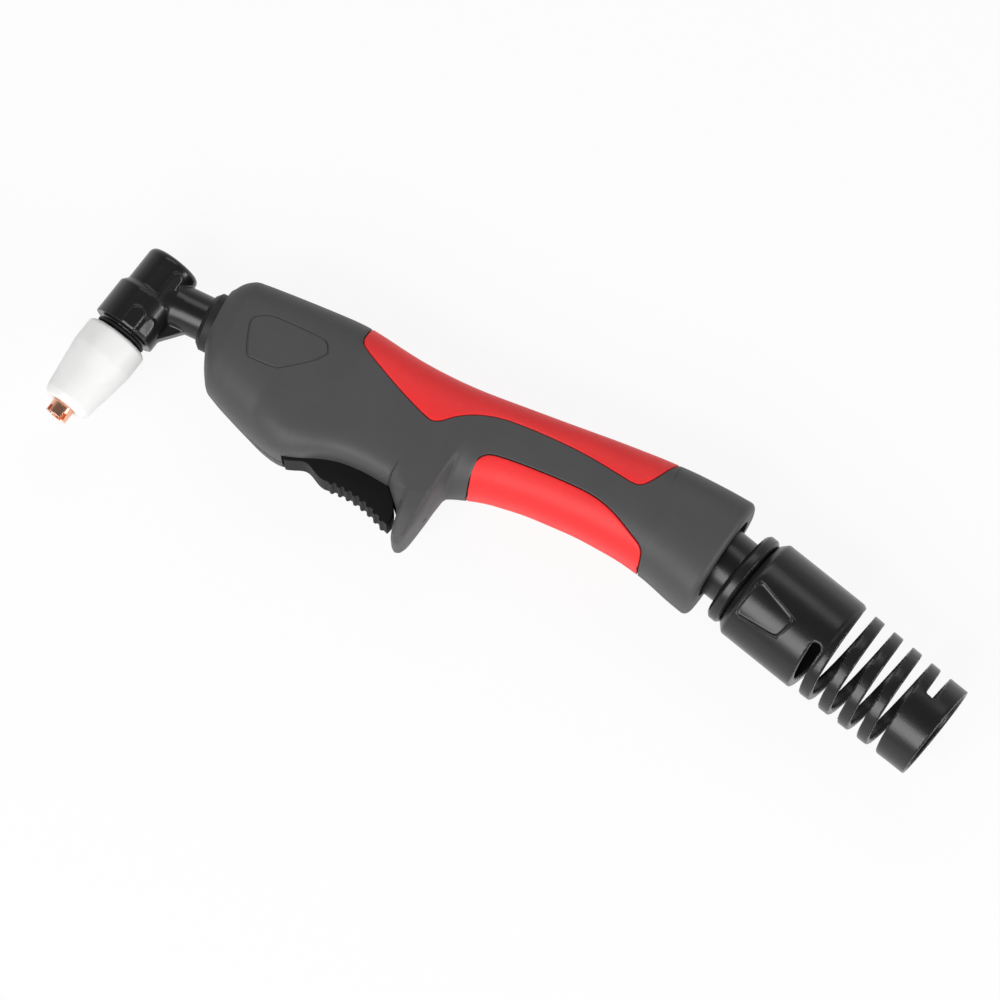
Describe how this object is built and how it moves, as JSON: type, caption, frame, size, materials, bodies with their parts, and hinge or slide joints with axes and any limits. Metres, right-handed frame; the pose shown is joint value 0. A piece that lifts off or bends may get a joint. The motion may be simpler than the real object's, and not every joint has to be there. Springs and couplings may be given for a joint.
{
  "type": "plasma cutting torch",
  "caption": "Hand torch for air plasma cutting: head with a screwed white cup and copper tip, two-shell handle with soft grips, rocking trigger, and a swivelling spiral cable support.",
  "frame": {"origin": "on the floor under the middle of the torch as it lies on its right flank", "axes": "+X from the head towards the cable end, +Y towards the back of the hand, +Z out of the left flank"},
  "size_m": [0.353, 0.0836, 0.0412],
  "materials": {
    "head_plastic": "black glass-filled nylon, semi-gloss",
    "brass": "machined",
    "copper": "machined bright copper",
    "hafnium": "pressed slug",
    "ceramic": "matt",
    "insulator": "moulded polyimide",
    "rubber": "moulded",
    "handle_grey": "fine spark texture",
    "grip_red": "soft overmould, satin",
    "trigger_plastic": "moulded",
    "spring_steel": "drawn wire",
    "steel": "zinc plated",
    "wire_red": "extruded insulation",
    "wire_black": "extruded insulation",
    "switch_plastic": "moulded",
    "bearing_plastic": "acetal",
    "support_plastic": "black nylon, semi-gloss"
  },
  "bodies": {
    "torch": {"head_body": "head_plastic", "cathode_body": "brass", "insulator_sleeve": "insulator", "pilot_ring": "brass", "head_oring": "rubber", "neck_ring": "rubber", "plunger_spring": "spring_steel", "gas_tube": "copper", "tube_fitting": "brass", "pilot_wire": "wire_red", "switch_leads": "wire_black", "lead_crimps": "steel", "handle_left": "handle_grey", "handle_right": "handle_grey", "upper_grip_left": "grip_red", "upper_grip_right": "grip_red", "lower_grip_left": "grip_red", "lower_grip_right": "grip_red", "handle_screws": "steel", "trigger_pin": "steel", "trigger_spring": "spring_steel", "switch_body": "switch_plastic", "switch_terminals": "brass"},
    "cup": {"retaining_cup": "ceramic", "cup_thread_insert": "brass"},
    "tip_stack": {"cutting_tip": "copper", "swirl_ring": "insulator"},
    "electrode_set": {"plunger": "brass", "electrode": "copper", "emitter": "hafnium"},
    "trigger_lever": {"trigger": "trigger_plastic"},
    "button": {"switch_button": "trigger_plastic"},
    "seat": {"ball_seat": "bearing_plastic"},
    "knuckle": {"swivel_knuckle": "support_plastic"},
    "support": {"cable_support": "support_plastic"}
  },
  "joints": [
    {"name": "tip_advance", "type": "slide", "parent": "torch", "child": "tip_stack", "axis": [-0.1908, -0.9816, 0], "range_m": [0, 0.0045]},
    {"name": "cup_unscrew", "type": "hinge", "parent": "tip_stack", "child": "cup", "pos_m": [-0.16133, -0.00435, 0.0206], "axis": [-0.1908, -0.9816, 0], "range_deg": [0, 1080]},
    {"name": "electrode_blowback", "type": "slide", "parent": "torch", "child": "electrode_set", "axis": [0.1908, 0.9816, 0], "range_m": [0, 0.0015], "stiffness_N_per_m": 900, "springref_m": -0.003, "deforming": ["plunger_spring"]},
    {"name": "trigger_pivot", "type": "hinge", "parent": "torch", "child": "trigger_lever", "pos_m": [-0.07984, -0.01223, 0.0206], "axis": [0, 0, 1], "range_deg": [0, 5], "stiffness_Nm_per_rad": 0.35, "springref_deg": -20.05, "deforming": ["trigger_spring"]},
    {"name": "switch_press", "type": "slide", "parent": "torch", "child": "button", "axis": [0, 1, 0], "range_m": [0, 0.0019]},
    {"name": "socket_spin", "type": "hinge", "parent": "torch", "child": "seat", "pos_m": [0.06316, 0.01977, 0.0206], "axis": [0.9898, -0.1426, 0], "continuous": true},
    {"name": "knuckle_tilt", "type": "hinge", "parent": "seat", "child": "knuckle", "pos_m": [0.06316, 0.01977, 0.0206], "axis": [0, 0, 1], "range_deg": [-4.5, 15]},
    {"name": "support_spin", "type": "hinge", "parent": "knuckle", "child": "support", "pos_m": [0.06316, 0.01977, 0.0206], "axis": [0.972, -0.2351, 0], "continuous": true}
  ],
  "couplings": [
    {"joint": "cup_unscrew", "follows": "tip_advance", "rad_per_m": 4188.8},
    {"joint": "switch_press", "follows": "trigger_pivot", "m_per_rad": 0.02}
  ]
}
